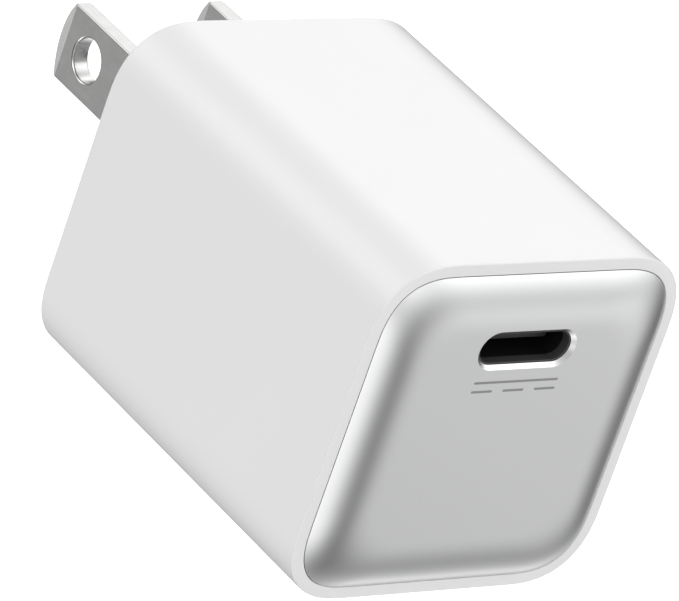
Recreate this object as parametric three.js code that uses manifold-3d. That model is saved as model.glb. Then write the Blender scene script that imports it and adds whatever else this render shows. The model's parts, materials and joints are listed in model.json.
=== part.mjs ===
// Compact wall charger: a rounded square sleeve closed by a crowned metal front panel with one
// USB-C socket, and by a rear cover from which two flat prongs fold out.
// Millimetres. +Z up, -Y the socket side, +Y the wall side. The origin is under the middle of the
// box that holds the charger with its prongs out.
import * as THREE from "three";
import { mergeVertices } from "three/addons/utils/BufferGeometryUtils.js";
import Module from "manifold-3d";

const wasm = await Module();
wasm.setup();

// ---------------------------------------------------------------- driving dimensions

const BODY = 28.5; // width and height of the sleeve
const SLEEVE_LENGTH = 35;
const CROWN = 1.2; // how far the front panel stands out of the sleeve
const PRONG_LENGTH = 16.2; // prong beyond the rear face
const CORNER_ZONE = 6.73; // side of the square that each rounded corner takes up
const CORNER_POWER = 2.6; // 2 is a circular corner, more is squarer
const CORNER_STEPS = 9;
const ROUND_STEPS = 20; // sides of a turned piece

const FRONT = -(SLEEVE_LENGTH + CROWN + PRONG_LENGTH) / 2; // crown of the panel
const RIM = FRONT + CROWN; // front end of the sleeve
const BACK = RIM + SLEEVE_LENGTH; // rear face
const TIP = BACK + PRONG_LENGTH;
const MID = BODY / 2; // height of the sleeve's centre line

const WALL = 1.6;
const RIM_WIDTH = 0.95; // sleeve wall beside the front panel
const SEAT_DEPTH = 1.3; // depth of the step that the front panel sits in
const FRONT_EDGE = 0.3; // rounding of the sleeve's two end edges
const BACK_EDGE = 0.4;
const GAP = 0.1; // between pieces that touch
const SHEET = 0.85; // metal of the front panel
const ROLL = 2.7; // width of the panel's rolled edge
const RAIL = { upper: [11.1, 12.9], lower: [10.3, 12.1], height: 0.6 }; // beside the main board

const PORT_HEIGHT = MID + 7.5;
const PORT = { width: 8.45, height: 2.65, bevel: 0.3 };
const SHELL = { width: 8.94, height: 3.26, innerWidth: 8.34, innerHeight: 2.56, length: 7.3 };
const TONGUE = { width: 6.65, height: 0.7, length: 4.4 };

// Two-pole flat prongs: 12.7 mm apart, 6.35 mm wide and 1.52 mm thick, with a 3.5 mm hole.
const PRONG_PITCH = 12.7;
const PRONG = {
  width: 6.35,
  thickness: 1.52,
  rootThickness: 1.42,
  bulge: 1.15, // how far the tip is arched
  bevel: 1.4, // length of the bevel on each face of the tip
  edge: 0.62, // thickness left at the tip
  hole: 1.75,
  holeBack: 4.4, // from the tip to the middle of the hole
};
const PRONG_HEIGHT = MID + 3.9; // centre line of the prongs
const PIVOT = { y: BACK - 2.55, z: MID + 4.6 };

const SLOT_HALF = 1.1; // half the width of the slot that a prong folds into
const SLOT_SLACK = 0.33; // above the prong
const NOTCH_TOP = WALL + 0.4;
const COVER = 1.2; // thickness of the rear cover's plate
const COLLAR = { depth: 3, wall: 1 };
const TROUGH_WALL = 0.9;
const TROUGH_BACK = PIVOT.y - (PIVOT.z - PRONG_HEIGHT) - PRONG.width / 2 - 0.25;
const SCOOP = { half: 8.4, low: 2.9, high: 9.9, depth: 3, corner: 1.6 };
const BARREL = 1.45; // radius of the hinge carrier
const BARREL_HALF = 8.4;
const DETENT_FLAT = { half: 2.6, away: 1.1 }; // half its width, and its distance from the pin's axis
const PIN = 0.6;
const PIN_HALF = 9.7;
const LUG = { inside: 8.6, outside: 9.7, reach: 1.65, half: 1.85 };
const SCREW = { x: 10.4, z: MID + 7.95, shank: 0.6, head: 1.3, boss: 1.5 };
const RETAINER = { front: 4, back: 4.9, half: 11.7, foot: 8.2, top: MID + 9.9 };

const BOARD = 1; // thickness of the two upper circuit boards
const MAIN_BOARD = { low: 3.4, high: 4.6, half: 11.6, front: -23.3, back: 2.1 };
const INPUT_BOARD = { low: 17.4, half: 11.2, front: -7.9, back: 2.2 };
const OUTPUT_BOARD = { low: 18.9, half: 11.2, front: -23.4, back: -8.4 };

// ---------------------------------------------------------------- finishes

function finish(color, roughness, metalness) {
  return new THREE.MeshStandardMaterial({ color, roughness, metalness });
}

const white = finish(0xf5f5f4, 0.42, 0);
const satin = finish(0xc6c7c9, 0.34, 1);
const nickel = finish(0xb4b3b0, 0.24, 1);
const steel = finish(0xa9abad, 0.32, 1);
const bronze = finish(0xb98a4e, 0.34, 1);
const greyPlastic = finish(0xd9d9d6, 0.5, 0);
const darkPlastic = finish(0x2a2b2d, 0.5, 0);
const blackChip = finish(0x17181a, 0.6, 0);
const boardGreen = finish(0x1f5a3c, 0.5, 0);
const ferrite = finish(0x3b3c40, 0.7, 0);
const tape = finish(0xd8b53a, 0.45, 0);
const copper = finish(0xb4673a, 0.4, 1);
const canSleeve = finish(0x2b2f3a, 0.4, 0);
const aluminium = finish(0xcfd1d3, 0.35, 1);
const ceramicBlue = finish(0x2e5d96, 0.45, 0);
const padGrey = finish(0x8a8f94, 0.85, 0);
const filmAmber = finish(0xc98f2c, 0.35, 0);
const glassy = finish(0xe6e2d6, 0.4, 0);

// ---------------------------------------------------------------- geometry helpers

// A closed solid from a geometry, with only its positions kept and shared corners merged.
function solid(geometry) {
  const bare = new THREE.BufferGeometry();
  bare.setAttribute("position", geometry.getAttribute("position"));
  if (geometry.index) bare.setIndex(geometry.index);
  const merged = mergeVertices(bare, 1e-4);
  return new wasm.Manifold(
    new wasm.Mesh({
      numProp: 3,
      vertProperties: merged.attributes.position.array,
      triVerts: new Uint32Array(merged.index.array),
    }),
  );
}

function shape(made) {
  const mesh = made.getMesh();
  const geometry = new THREE.BufferGeometry();
  geometry.setAttribute("position", new THREE.BufferAttribute(mesh.vertProperties, 3));
  geometry.setIndex(new THREE.BufferAttribute(mesh.triVerts, 1));
  return geometry;
}

const join = (pieces) => pieces.map(solid).reduce((whole, next) => whole.add(next));
const cut = (base, tools) => shape(tools.map(solid).reduce((rest, tool) => rest.subtract(tool), base));

function box([x0, x1], [y0, y1], [z0, z1]) {
  const geometry = new THREE.BoxGeometry(x1 - x0, y1 - y0, z1 - z0);
  return geometry.translate((x0 + x1) / 2, (y0 + y1) / 2, (z0 + z1) / 2);
}

// Straight cylinders along each axis, from one end to the other.
function rodX(radius, [x0, x1], y, z, steps = ROUND_STEPS) {
  const rod = new THREE.CylinderGeometry(radius, radius, x1 - x0, steps);
  return rod.rotateZ(Math.PI / 2).translate((x0 + x1) / 2, y, z);
}

function rodY(radius, x, [y0, y1], z, steps = ROUND_STEPS) {
  return new THREE.CylinderGeometry(radius, radius, y1 - y0, steps).translate(x, (y0 + y1) / 2, z);
}

// A turned piece about a vertical axis, from a closed profile of [radius, height] points.
function turned(profile, steps = ROUND_STEPS) {
  const points = profile.map(([r, z]) => new THREE.Vector2(r, z));
  return new THREE.LatheGeometry(points, steps).rotateX(Math.PI / 2);
}

// A hollow ring about a vertical axis.
function ring(inner, outer, low, high, steps = ROUND_STEPS) {
  const corners = [[inner, low], [outer, low], [outer, high], [inner, high], [inner, low]];
  return turned(corners, steps);
}

function outline(points) {
  return new THREE.Shape(points.map(([a, b]) => new THREE.Vector2(a, b)));
}

// An outline in the Y-Z plane, pushed along X from x0 to x1.
function slabX(profile, x0, x1, curveSegments = 12) {
  const options = { depth: x1 - x0, bevelEnabled: false, curveSegments };
  const geometry = new THREE.ExtrudeGeometry(profile, options);
  const axes = new THREE.Matrix4().makeBasis(
    new THREE.Vector3(0, 1, 0),
    new THREE.Vector3(0, 0, 1),
    new THREE.Vector3(1, 0, 0),
  );
  return geometry.applyMatrix4(axes).translate(x0, 0, 0);
}

// An outline in the X-Y plane, pushed up from z0 to z1.
function slabZ(profile, z0, z1) {
  const geometry = new THREE.ExtrudeGeometry(profile, { depth: z1 - z0, bevelEnabled: false });
  return geometry.translate(0, 0, z0);
}

// A thin strip of constant thickness along a polyline in the Y-Z plane.
function strip(points, thickness, x0, x1) {
  const line = points.map(([y, z]) => new THREE.Vector2(y, z));
  const sides = { left: [], right: [] };
  line.forEach((point, i) => {
    const before = line[Math.max(i - 1, 0)];
    const after = line[Math.min(i + 1, line.length - 1)];
    const into = point.clone().sub(before).normalize();
    const out = after.clone().sub(point).normalize();
    const along = into.clone().add(out).normalize();
    const normal = new THREE.Vector2(-along.y, along.x);
    const straight = i === 0 || i === line.length - 1;
    const miter = straight ? 1 : 1 / Math.max(Math.sqrt((1 + into.dot(out)) / 2), 0.3);
    const reach = (thickness / 2) * miter;
    sides.left.push(point.clone().addScaledVector(normal, reach));
    sides.right.unshift(point.clone().addScaledVector(normal, -reach));
  });
  return slabX(new THREE.Shape([...sides.left, ...sides.right]), x0, x1);
}

// The sleeve's outline in the X-Z plane, moved in by inset, as points at height y.
function squircle(inset, y) {
  const reach = BODY / 2 - CORNER_ZONE;
  const q = 1 / (CORNER_POWER - 1);
  const points = [];
  for (let corner = 0; corner < 4; corner += 1) {
    const sx = corner === 0 || corner === 3 ? 1 : -1;
    const sz = corner < 2 ? 1 : -1;
    for (let i = 0; i <= CORNER_STEPS; i += 1) {
      const step = corner % 2 === 0 ? i : CORNER_STEPS - i;
      const angle = (step / CORNER_STEPS) * (Math.PI / 2);
      const c = Math.max(Math.cos(angle), 0);
      const s = Math.max(Math.sin(angle), 0);
      const norm = (c ** (CORNER_POWER * q) + s ** (CORNER_POWER * q)) ** (1 / CORNER_POWER);
      const x = reach + (CORNER_ZONE * c ** q) / norm - inset * c;
      const z = reach + (CORNER_ZONE * s ** q) / norm - inset * s;
      points.push(new THREE.Vector3(sx * x, y, MID + sz * z));
    }
  }
  return points;
}

// A slot outline with round ends in the X-Z plane, as points at height y.
function obround(width, height, y, steps = 10) {
  const r = height / 2;
  const points = [];
  for (let end = 0; end < 2; end += 1) {
    for (let i = 0; i <= steps; i += 1) {
      const angle = -Math.PI / 2 + Math.PI * (end + i / steps);
      const centre = (end === 0 ? 1 : -1) * (width / 2 - r);
      points.push(new THREE.Vector3(centre + r * Math.cos(angle), y, PORT_HEIGHT + r * Math.sin(angle)));
    }
  }
  return points;
}

// A skin through a row of loops with equal numbers of points. It closes on itself if around is
// true, and is capped at both ends if not. Loops run from +Y to -Y on the outside of the piece.
function loft(loops, around = false) {
  const count = loops[0].length;
  const positions = loops.flat().flatMap((p) => [p.x, p.y, p.z]);
  const index = [];
  const last = around ? loops.length : loops.length - 1;
  for (let j = 0; j < last; j += 1) {
    const here = j * count;
    const next = ((j + 1) % loops.length) * count;
    for (let i = 0; i < count; i += 1) {
      const k = (i + 1) % count;
      index.push(here + i, here + k, next + k, here + i, next + k, next + i);
    }
  }
  if (!around) {
    const flat = loops[0].map((p) => new THREE.Vector2(p.x, p.z));
    const first = (loops.length - 1) * count;
    for (const [a, b, c] of THREE.ShapeUtils.triangulateShape(flat, [])) {
      index.push(a, c, b, first + a, first + b, first + c);
    }
  }
  const geometry = new THREE.BufferGeometry();
  geometry.setAttribute("position", new THREE.Float32BufferAttribute(positions, 3));
  geometry.setIndex(index);
  return geometry;
}

// A quarter of an ellipse as squircle loops, from its side to its top.
function rolledLoops({ inset, y, width, height, steps }) {
  return Array.from({ length: steps + 1 }, (_, i) => {
    const angle = (i / steps) * (Math.PI / 2);
    return squircle(inset + width * (1 - Math.cos(angle)), y - height * Math.sin(angle));
  });
}

// ---------------------------------------------------------------- casing

// The moulded tube, with a stepped front end, rails for the main board and two notches in its
// rear lower edge for the tips of the folded prongs.
function outerSleeve() {
  const backEdge = [0, 1, 2, 3].map((i) => {
    const angle = (i / 3) * (Math.PI / 2);
    return squircle(BACK_EDGE * (1 - Math.sin(angle)), BACK - BACK_EDGE * (1 - Math.cos(angle)));
  });
  const frontEdge = rolledLoops({
    inset: 0,
    y: RIM + FRONT_EDGE,
    width: FRONT_EDGE,
    height: FRONT_EDGE,
    steps: 3,
  });
  const inside = [
    squircle(RIM_WIDTH, RIM),
    squircle(RIM_WIDTH, RIM + SEAT_DEPTH),
    squircle(WALL, RIM + SEAT_DEPTH),
    squircle(WALL, BACK),
  ];
  const tube = solid(loft([...backEdge, ...frontEdge, ...inside], true));
  const along = [MAIN_BOARD.front + 1, MAIN_BOARD.back - 1];
  const above = MAIN_BOARD.high + GAP;
  const below = MAIN_BOARD.low - GAP;
  const rails = [-1, 1].flatMap((side) => {
    const span = (near, far) => [Math.min(side * near, side * far), Math.max(side * near, side * far)];
    return [
      box(span(...RAIL.upper), along, [above, above + RAIL.height]),
      box(span(...RAIL.lower), along, [below - RAIL.height, below]),
    ];
  });
  const notches = [-1, 1].map((side) => {
    const x = (side * PRONG_PITCH) / 2;
    return box([x - SLOT_HALF, x + SLOT_HALF], [TROUGH_BACK, BACK + 1], [-1, NOTCH_TOP]);
  });
  return cut(rails.map(solid).reduce((whole, rail) => whole.add(rail), tube), notches);
}

// The crowned metal front: a shallow tray with a rolled edge and a slot for the socket.
function frontPanel() {
  const edge = RIM_WIDTH + GAP;
  const outside = [
    squircle(edge, RIM + SEAT_DEPTH - GAP),
    ...rolledLoops({ inset: edge, y: RIM, width: ROLL, height: CROWN, steps: 6 }),
  ];
  const start = 0.5; // from the rim to where the roll begins on the inside
  const hollow = [
    squircle(edge + SHEET, RIM + SEAT_DEPTH),
    ...rolledLoops({
      inset: edge + SHEET,
      y: RIM + start,
      width: ROLL - 0.4,
      height: CROWN + start - SHEET,
      steps: 4,
    }),
  ];
  const socket = [
    obround(PORT.width, PORT.height, FRONT + SHEET + 1),
    obround(PORT.width, PORT.height, FRONT + PORT.bevel),
    obround(PORT.width + 4 * PORT.bevel, PORT.height + 4 * PORT.bevel, FRONT - PORT.bevel),
  ];
  return cut(solid(loft(outside)), [loft(hollow), loft(socket)]);
}

// The rear cover: a plate with a collar inside the sleeve, a trough behind each prong slot, a
// shallow basin across the slots for a fingertip, two lugs for the hinge pin and two screw bosses.
function rearCover() {
  const fit = WALL + GAP;
  const inner = BACK - COVER + 0.1; // a little inside the plate, so that what joins it overlaps it
  const collarEnd = BACK - COLLAR.depth;
  const collar = cut(solid(loft([squircle(fit, inner), squircle(fit, collarEnd)])), [
    loft([squircle(fit + COLLAR.wall, BACK), squircle(fit + COLLAR.wall, collarEnd - 1)]),
  ]);
  const edge = 0.2;
  const plate = loft([squircle(fit + edge, BACK), squircle(fit, BACK - edge), squircle(fit, BACK - COVER)]);
  const troughTop = PIVOT.z - BARREL - 0.2;
  const slotTop = PRONG_HEIGHT + PRONG.width / 2 + SLOT_SLACK;
  const slack = PIN + GAP / 2;
  const drilled = [RETAINER.front, BACK - COVER - 0.6];
  const { half: reach, low, high, depth } = SCOOP;
  const added = [plate, collar];
  const removed = [rodX(BARREL + GAP, [-LUG.inside + GAP, LUG.inside - GAP], PIVOT.y, PIVOT.z)];
  for (const side of [-1, 1]) {
    const x = (side * PRONG_PITCH) / 2;
    const half = SLOT_HALF + TROUGH_WALL;
    const slot = [x - SLOT_HALF, x + SLOT_HALF];
    const lug = [side * LUG.inside, side * LUG.outside].sort((a, b) => a - b);
    const past = [lug[0] - 1, lug[1] + 1];
    added.push(box([x - half, x + half], [TROUGH_BACK - 1, inner], [fit, troughTop]));
    added.push(box(lug, [PIVOT.y - LUG.reach, inner], [PIVOT.z - LUG.half, PIVOT.z + LUG.half]));
    added.push(rodY(SCREW.boss, side * SCREW.x, [RETAINER.back + GAP, inner], SCREW.z));
    removed.push(box(slot, [BACK - COVER - 1, BACK + 1], [0, slotTop]));
    removed.push(box(slot, [TROUGH_BACK, BACK], [0, troughTop + 1]));
    removed.push(rodX(slack, past, PIVOT.y, PIVOT.z));
    removed.push(box(past, [PIVOT.y - 3, PIVOT.y], [PIVOT.z - slack, PIVOT.z + slack]));
    removed.push(rodY(SCREW.shank + GAP / 2, side * SCREW.x, drilled, SCREW.z));
  }
  added.push(box([-reach - 1, reach + 1], [BACK - depth - 1, inner], [low - 1, high + 1]));
  removed.push(fingerBasin());
  return cut(join(added), removed);
}

// The space of the basin: a trough across both slots, rounded along its bottom.
function fingerBasin() {
  const { low, high, depth, corner, half } = SCOOP;
  const floor = BACK - depth;
  const profile = new THREE.Shape();
  profile.moveTo(BACK + 1, low);
  profile.lineTo(BACK + 1, high);
  profile.lineTo(floor + corner, high);
  profile.absarc(floor + corner, high - corner, corner, Math.PI / 2, Math.PI, false);
  profile.absarc(floor + corner, low + corner, corner, Math.PI, 1.5 * Math.PI, false);
  return slabX(profile, -half, half, 5);
}

// ---------------------------------------------------------------- folding prongs

// One flat prong: a round root about the pivot, a straight blade, and a tip that is arched and
// bevelled on both faces.
function prong() {
  const half = PRONG.width / 2;
  const low = PRONG_HEIGHT - half;
  const high = PRONG_HEIGHT + half;
  const archRadius = (half ** 2 + PRONG.bulge ** 2) / (2 * PRONG.bulge);
  const spread = Math.asin(half / archRadius);
  const rootRadius = high - PIVOT.z;
  const heel = 1.4; // from the pivot to the root's lower corner
  const corner = 0.5; // cut off that corner
  const edge = new THREE.Shape();
  edge.moveTo(PIVOT.y, high);
  edge.absarc(PIVOT.y, PIVOT.z, rootRadius, Math.PI / 2, Math.PI, false);
  edge.lineTo(PIVOT.y - rootRadius, PIVOT.z - 0.6);
  edge.lineTo(PIVOT.y - heel, low + corner);
  edge.lineTo(PIVOT.y - heel + corner, low);
  edge.lineTo(TIP - PRONG.bulge, low);
  edge.absarc(TIP - archRadius, PRONG_HEIGHT, archRadius, -spread, spread, false);
  const step = BACK + 0.2; // where the thinner root begins
  const stations = [
    [PRONG.rootThickness / 2, PIVOT.y - rootRadius - 1],
    [PRONG.rootThickness / 2, step],
    [PRONG.thickness / 2, step],
    [PRONG.thickness / 2, TIP - PRONG.bevel],
    [PRONG.edge / 2, TIP],
    [PRONG.edge / 2, TIP + 1],
  ];
  const side = outline([...stations, ...stations.map(([x, y]) => [-x, y]).reverse()]);
  const blade = solid(slabX(edge, -1, 1, 10)).intersect(solid(slabZ(side, low - 1, high + 1)));
  const key = rodX(BARREL + GAP, [-2, 2], PIVOT.y, PIVOT.z, 6);
  return cut(blade, [key, ...holeCutters()]);
}

// The round hole near the tip, with a small bevel on each face.
function holeCutters() {
  const y = TIP - PRONG.holeBack;
  const bevel = 0.2;
  const reach = PRONG.thickness / 2;
  const cone = (side) => {
    const wide = PRONG.hole + 2 * bevel;
    const made = new THREE.CylinderGeometry(wide, PRONG.hole, 2 * bevel, 24);
    return made.rotateZ(side * (-Math.PI / 2)).translate(side * reach, y, PRONG_HEIGHT);
  };
  return [rodX(PRONG.hole, [-2, 2], y, PRONG_HEIGHT, 24), cone(1), cone(-1)];
}

// The moulded barrel that carries both prongs: round between and outside them, six-sided where it
// passes through them, with two flats in the middle for the detent spring.
function hingeCarrier() {
  const seat = PRONG_PITCH / 2;
  const near = seat - PRONG.rootThickness / 2 - GAP;
  const far = seat + PRONG.rootThickness / 2 + GAP;
  const { y, z } = PIVOT;
  const lap = 0.1; // of a six-sided stretch into the round ones
  const body = join([
    rodX(BARREL, [-near, near], y, z),
    rodX(BARREL, [far, BARREL_HALF], y, z),
    rodX(BARREL, [-BARREL_HALF, -far], y, z),
    rodX(BARREL, [-far - lap, -near + lap], y, z, 6),
    rodX(BARREL, [near - lap, far + lap], y, z, 6),
  ]);
  const middle = [-DETENT_FLAT.half, DETENT_FLAT.half];
  const reach = 2 * BARREL;
  return cut(body, [
    box(middle, [y - reach, y - DETENT_FLAT.away], [z - reach, z + reach]),
    box(middle, [y - reach, y + reach], [z - reach, z - DETENT_FLAT.away]),
    rodX(PIN + GAP, [-BARREL_HALF - 1, BARREL_HALF + 1], y, z),
  ]);
}

// The plate that is screwed in behind the hinge and keeps the pin in its open lugs.
function hingeRetainer() {
  const low = PIVOT.z + 0.55;
  const face = [RETAINER.front, RETAINER.back];
  const through = [RETAINER.front - 1, RETAINER.back + 1];
  const bridge = 0.9; // left above the openings for the contact springs
  const pads = [LUG.inside + 0.15, LUG.outside - 0.15];
  const body = join([
    box([-RETAINER.half, RETAINER.half], face, [low, RETAINER.top]),
    ...[-1, 1].map((side) => {
      const span = [side * RETAINER.foot, side * RETAINER.half].sort((a, b) => a - b);
      return box(span, face, [PIVOT.z - 0.8, low + 0.2]);
    }),
    ...[-1, 1].map((side) => {
      const pad = pads.map((x) => side * x).sort((a, b) => a - b);
      return box(pad, [RETAINER.back - 0.4, PIVOT.y - PIN - GAP], [PIVOT.z - 0.5, PIVOT.z + 0.5]);
    }),
  ]);
  const removed = [];
  for (const side of [-1, 1]) {
    const x = (side * PRONG_PITCH) / 2;
    removed.push(rodY(SCREW.shank + GAP, side * SCREW.x, through, SCREW.z));
    removed.push(box([x - SLOT_HALF, x + SLOT_HALF], through, [low - 1, RETAINER.top - bridge]));
  }
  return cut(body, removed);
}

// A leaf held by the retainer that drops onto a flat of the barrel with the prongs out or folded.
function detentSpring() {
  const rest = PIVOT.y - BARREL - 0.23;
  const root = RETAINER.back + 0.2;
  const points = [
    [root, RETAINER.top - 0.6],
    [root, MID + 7],
    [rest, PIVOT.z + 1],
    [rest, PIVOT.z - 1.6],
    [rest - 0.5, PIVOT.z - 2.2],
  ];
  return strip(points, 0.2, -2.3, 2.3);
}

// A leaf that presses on the round root of a prong and is soldered to the input board.
function contactSpring() {
  const over = PRONG_HEIGHT + PRONG.width / 2 + 0.22; // centre of the leaf where it touches
  const points = [
    [PIVOT.y + 0.6, over + 0.5],
    [PIVOT.y - 0.2, over],
    [PIVOT.y - 1.4, over + 0.25],
    [3, MID + 8.4],
    [2.1, MID + 8.2],
    [1.6, MID + 7.6],
    [1.6, INPUT_BOARD.low + BOARD + 0.2],
  ];
  return strip(points, 0.24, -0.65, 0.65);
}

// A small pan-head screw along Y, its head towards the front.
function retainerScrew() {
  const under = RETAINER.front - GAP; // underside of the head
  const top = under - 0.85;
  const head = rodY(SCREW.head, 0, [top, under], 0);
  const shank = rodY(SCREW.shank, 0, [under - 0.4, BACK - COVER - 0.8], 0, 12);
  const depth = [top - 0.5, top + 0.35]; // of the cross recess
  const across = box([-1, 1], depth, [-0.2, 0.2]);
  const upright = box([-0.2, 0.2], depth, [-1, 1]);
  return cut(join([head, shank]), [across, upright]);
}

// ---------------------------------------------------------------- socket

// The bent metal shell of the socket: a flattened tube.
function usbShell() {
  const front = FRONT + SHEET + 0.15;
  const back = front + SHELL.length;
  return loft(
    [
      obround(SHELL.width, SHELL.height, back),
      obround(SHELL.width, SHELL.height, front),
      obround(SHELL.innerWidth, SHELL.innerHeight, front),
      obround(SHELL.innerWidth, SHELL.innerHeight, back),
    ],
    true,
  );
}

// The moulded insulator: a plug that fills the back of the shell, and the tongue.
function usbTongue() {
  const back = FRONT + SHEET + SHELL.length - 0.2;
  const neck = back - 1.6;
  const slack = 0.22;
  const { width, height, length } = TONGUE;
  const fill = [SHELL.innerWidth - slack, SHELL.innerHeight - slack];
  const plug = loft([obround(...fill, back), obround(...fill, neck)]);
  const tongue = box(
    [-width / 2, width / 2],
    [neck - length, neck + 0.2],
    [PORT_HEIGHT - height / 2, PORT_HEIGHT + height / 2],
  );
  return shape(join([plug, tongue]));
}

// ---------------------------------------------------------------- electronics

// A circuit board with one notched corner, as plain sheet.
function circuitBoard(half, front, back, thickness) {
  const notch = 1.2;
  const edge = outline([
    [-half, front],
    [half - notch, front],
    [half, front + notch],
    [half, back],
    [-half, back],
  ]);
  return slabZ(edge, 0, thickness);
}

// An electrolytic or polymer can: a pressed groove near its foot and a rounded top edge.
function capacitorCan(radius, height) {
  return turned([
    [0, 0],
    [radius, 0],
    [radius, 0.9],
    [radius - 0.25, 1.3],
    [radius, 1.7],
    [radius, height - 0.4],
    [radius - 0.4, height],
    [0, height],
  ]);
}

function block(x, y, z) {
  return new THREE.BoxGeometry(x, y, z).translate(0, 0, z / 2);
}

// A moulded chip with two rows of gull-wing leads joined to its sides.
function leadedChip(x, y, z, leads) {
  const pieces = [box([-x / 2, x / 2], [-y / 2, y / 2], [0.15, z])];
  for (const side of [-1, 1]) {
    for (let i = 0; i < leads; i += 1) {
      const along = ((i + 0.5) / leads - 0.5) * y;
      const span = [side * (x / 2 - 0.2), side * (x / 2 + 0.7)].sort((a, b) => a - b);
      pieces.push(box(span, [along - 0.2, along + 0.2], [0, 0.35]));
    }
  }
  return shape(join(pieces));
}

// One half of the transformer's core: a plate with two side legs and a round middle leg.
function transformerCore() {
  const legs = 6; // height of one half
  const plate = box([-7.5, 7.5], [-5.1, 5.1], [0, 2.2]);
  const sides = [-1, 1].map((side) => {
    const span = [side * 5.7, side * 7.5].sort((a, b) => a - b);
    return box(span, [-5.1, 5.1], [1, legs - 0.05]);
  });
  const middle = new THREE.CylinderGeometry(2.5, 2.5, legs - 1.05, ROUND_STEPS);
  return shape(join([plate, ...sides, middle.rotateX(Math.PI / 2).translate(0, 0, (legs + 0.95) / 2)]));
}

function transformerBobbin() {
  return turned([
    [2.65, -3.6],
    [5.3, -3.6],
    [5.3, -3],
    [3.05, -3],
    [3.05, 3],
    [5.3, 3],
    [5.3, 3.6],
    [2.65, 3.6],
    [2.65, -3.6],
  ]);
}

// Half of the choke's winding: a thick sector round the ring core.
function chokeWinding(side) {
  const thick = solid(ring(1.3, 4.8, -2.2, 2.2));
  const tunnel = ring(2, 4.1, -1.5, 1.5);
  const away = [side * -6, side * 0.8].sort((a, b) => a - b);
  return cut(thick, [tunnel, box(away, [-6, 6], [-3, 3])]);
}

// A bent sheet that lines the sleeve's sides and top.
function heatSpreader() {
  const [front, back] = [-22.8, 2.3];
  const band = solid(loft([squircle(WALL + 0.3, back), squircle(WALL + 0.3, front)]));
  return cut(band, [
    loft([squircle(WALL + 0.65, back + 1), squircle(WALL + 0.65, front - 1)]),
    box([-20, 20], [-40, 40], [-5, 8]),
  ]);
}

// ---------------------------------------------------------------- assembly

const group = new THREE.Group();

function add(parent, name, geometry, material, [x, y, z] = [0, 0, 0]) {
  const mesh = new THREE.Mesh(geometry, material);
  mesh.name = name;
  mesh.position.set(x, y, z);
  parent.add(mesh);
  return mesh;
}

function addCasing() {
  const casing = new THREE.Group();
  add(casing, "outer_sleeve", outerSleeve(), white);
  add(casing, "front_panel", frontPanel(), satin);
  add(casing, "rear_cover", rearCover(), white);
  add(casing, "hinge_retainer", hingeRetainer(), greyPlastic);
  add(casing, "hinge_pin", rodX(PIN, [-PIN_HALF, PIN_HALF], PIVOT.y, PIVOT.z, 12), steel);
  add(casing, "detent_spring", detentSpring(), steel);
  for (const [side, name] of [[-1, "left"], [1, "right"]]) {
    add(casing, `${name}_retainer_screw`, retainerScrew(), steel, [side * SCREW.x, 0, SCREW.z]);
    add(casing, `${name}_contact_spring`, contactSpring(), bronze, [(side * PRONG_PITCH) / 2, 0, 0]);
  }
  return casing;
}

function addProngs() {
  const prongs = new THREE.Group();
  add(prongs, "hinge_carrier", hingeCarrier(), greyPlastic);
  add(prongs, "left_blade", prong(), nickel, [-PRONG_PITCH / 2, 0, 0]);
  add(prongs, "right_blade", prong(), nickel, [PRONG_PITCH / 2, 0, 0]);
  return prongs;
}

function addOutputSide() {
  const side = new THREE.Group();
  const { half, front, back, low } = OUTPUT_BOARD;
  const top = low + BOARD + GAP;
  const floor = MAIN_BOARD.high + GAP;
  add(side, "output_board", circuitBoard(half, front, back, BOARD), boardGreen, [0, 0, low]);
  add(side, "usb_shell", usbShell(), steel);
  add(side, "usb_tongue", usbTongue(), darkPlastic);
  add(side, "output_controller", block(4, 4, 0.8), blackChip, [-8, -13, top]);
  add(side, "output_switch", block(3.3, 3.3, 0.9), blackChip, [-2, -13, top]);
  add(side, "sync_rectifier", leadedChip(4, 4.9, 1.5, 4), blackChip, [4.6, -20.2, low - 1.6]);
  [-7.8, -1.2].forEach((x, i) => {
    add(side, `output_capacitor_${i + 1}`, capacitorCan(3.15, 9.8), aluminium, [x, -20.2, floor]);
  });
  add(side, "output_inductor", block(5, 5, 4), ferrite, [4.6, -20.2, floor]);
  const rise = low - GAP - floor;
  add(side, "board_header", block(1.4, 5, rise), darkPlastic, [9.8, -19.6, floor]);
  return side;
}

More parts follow.
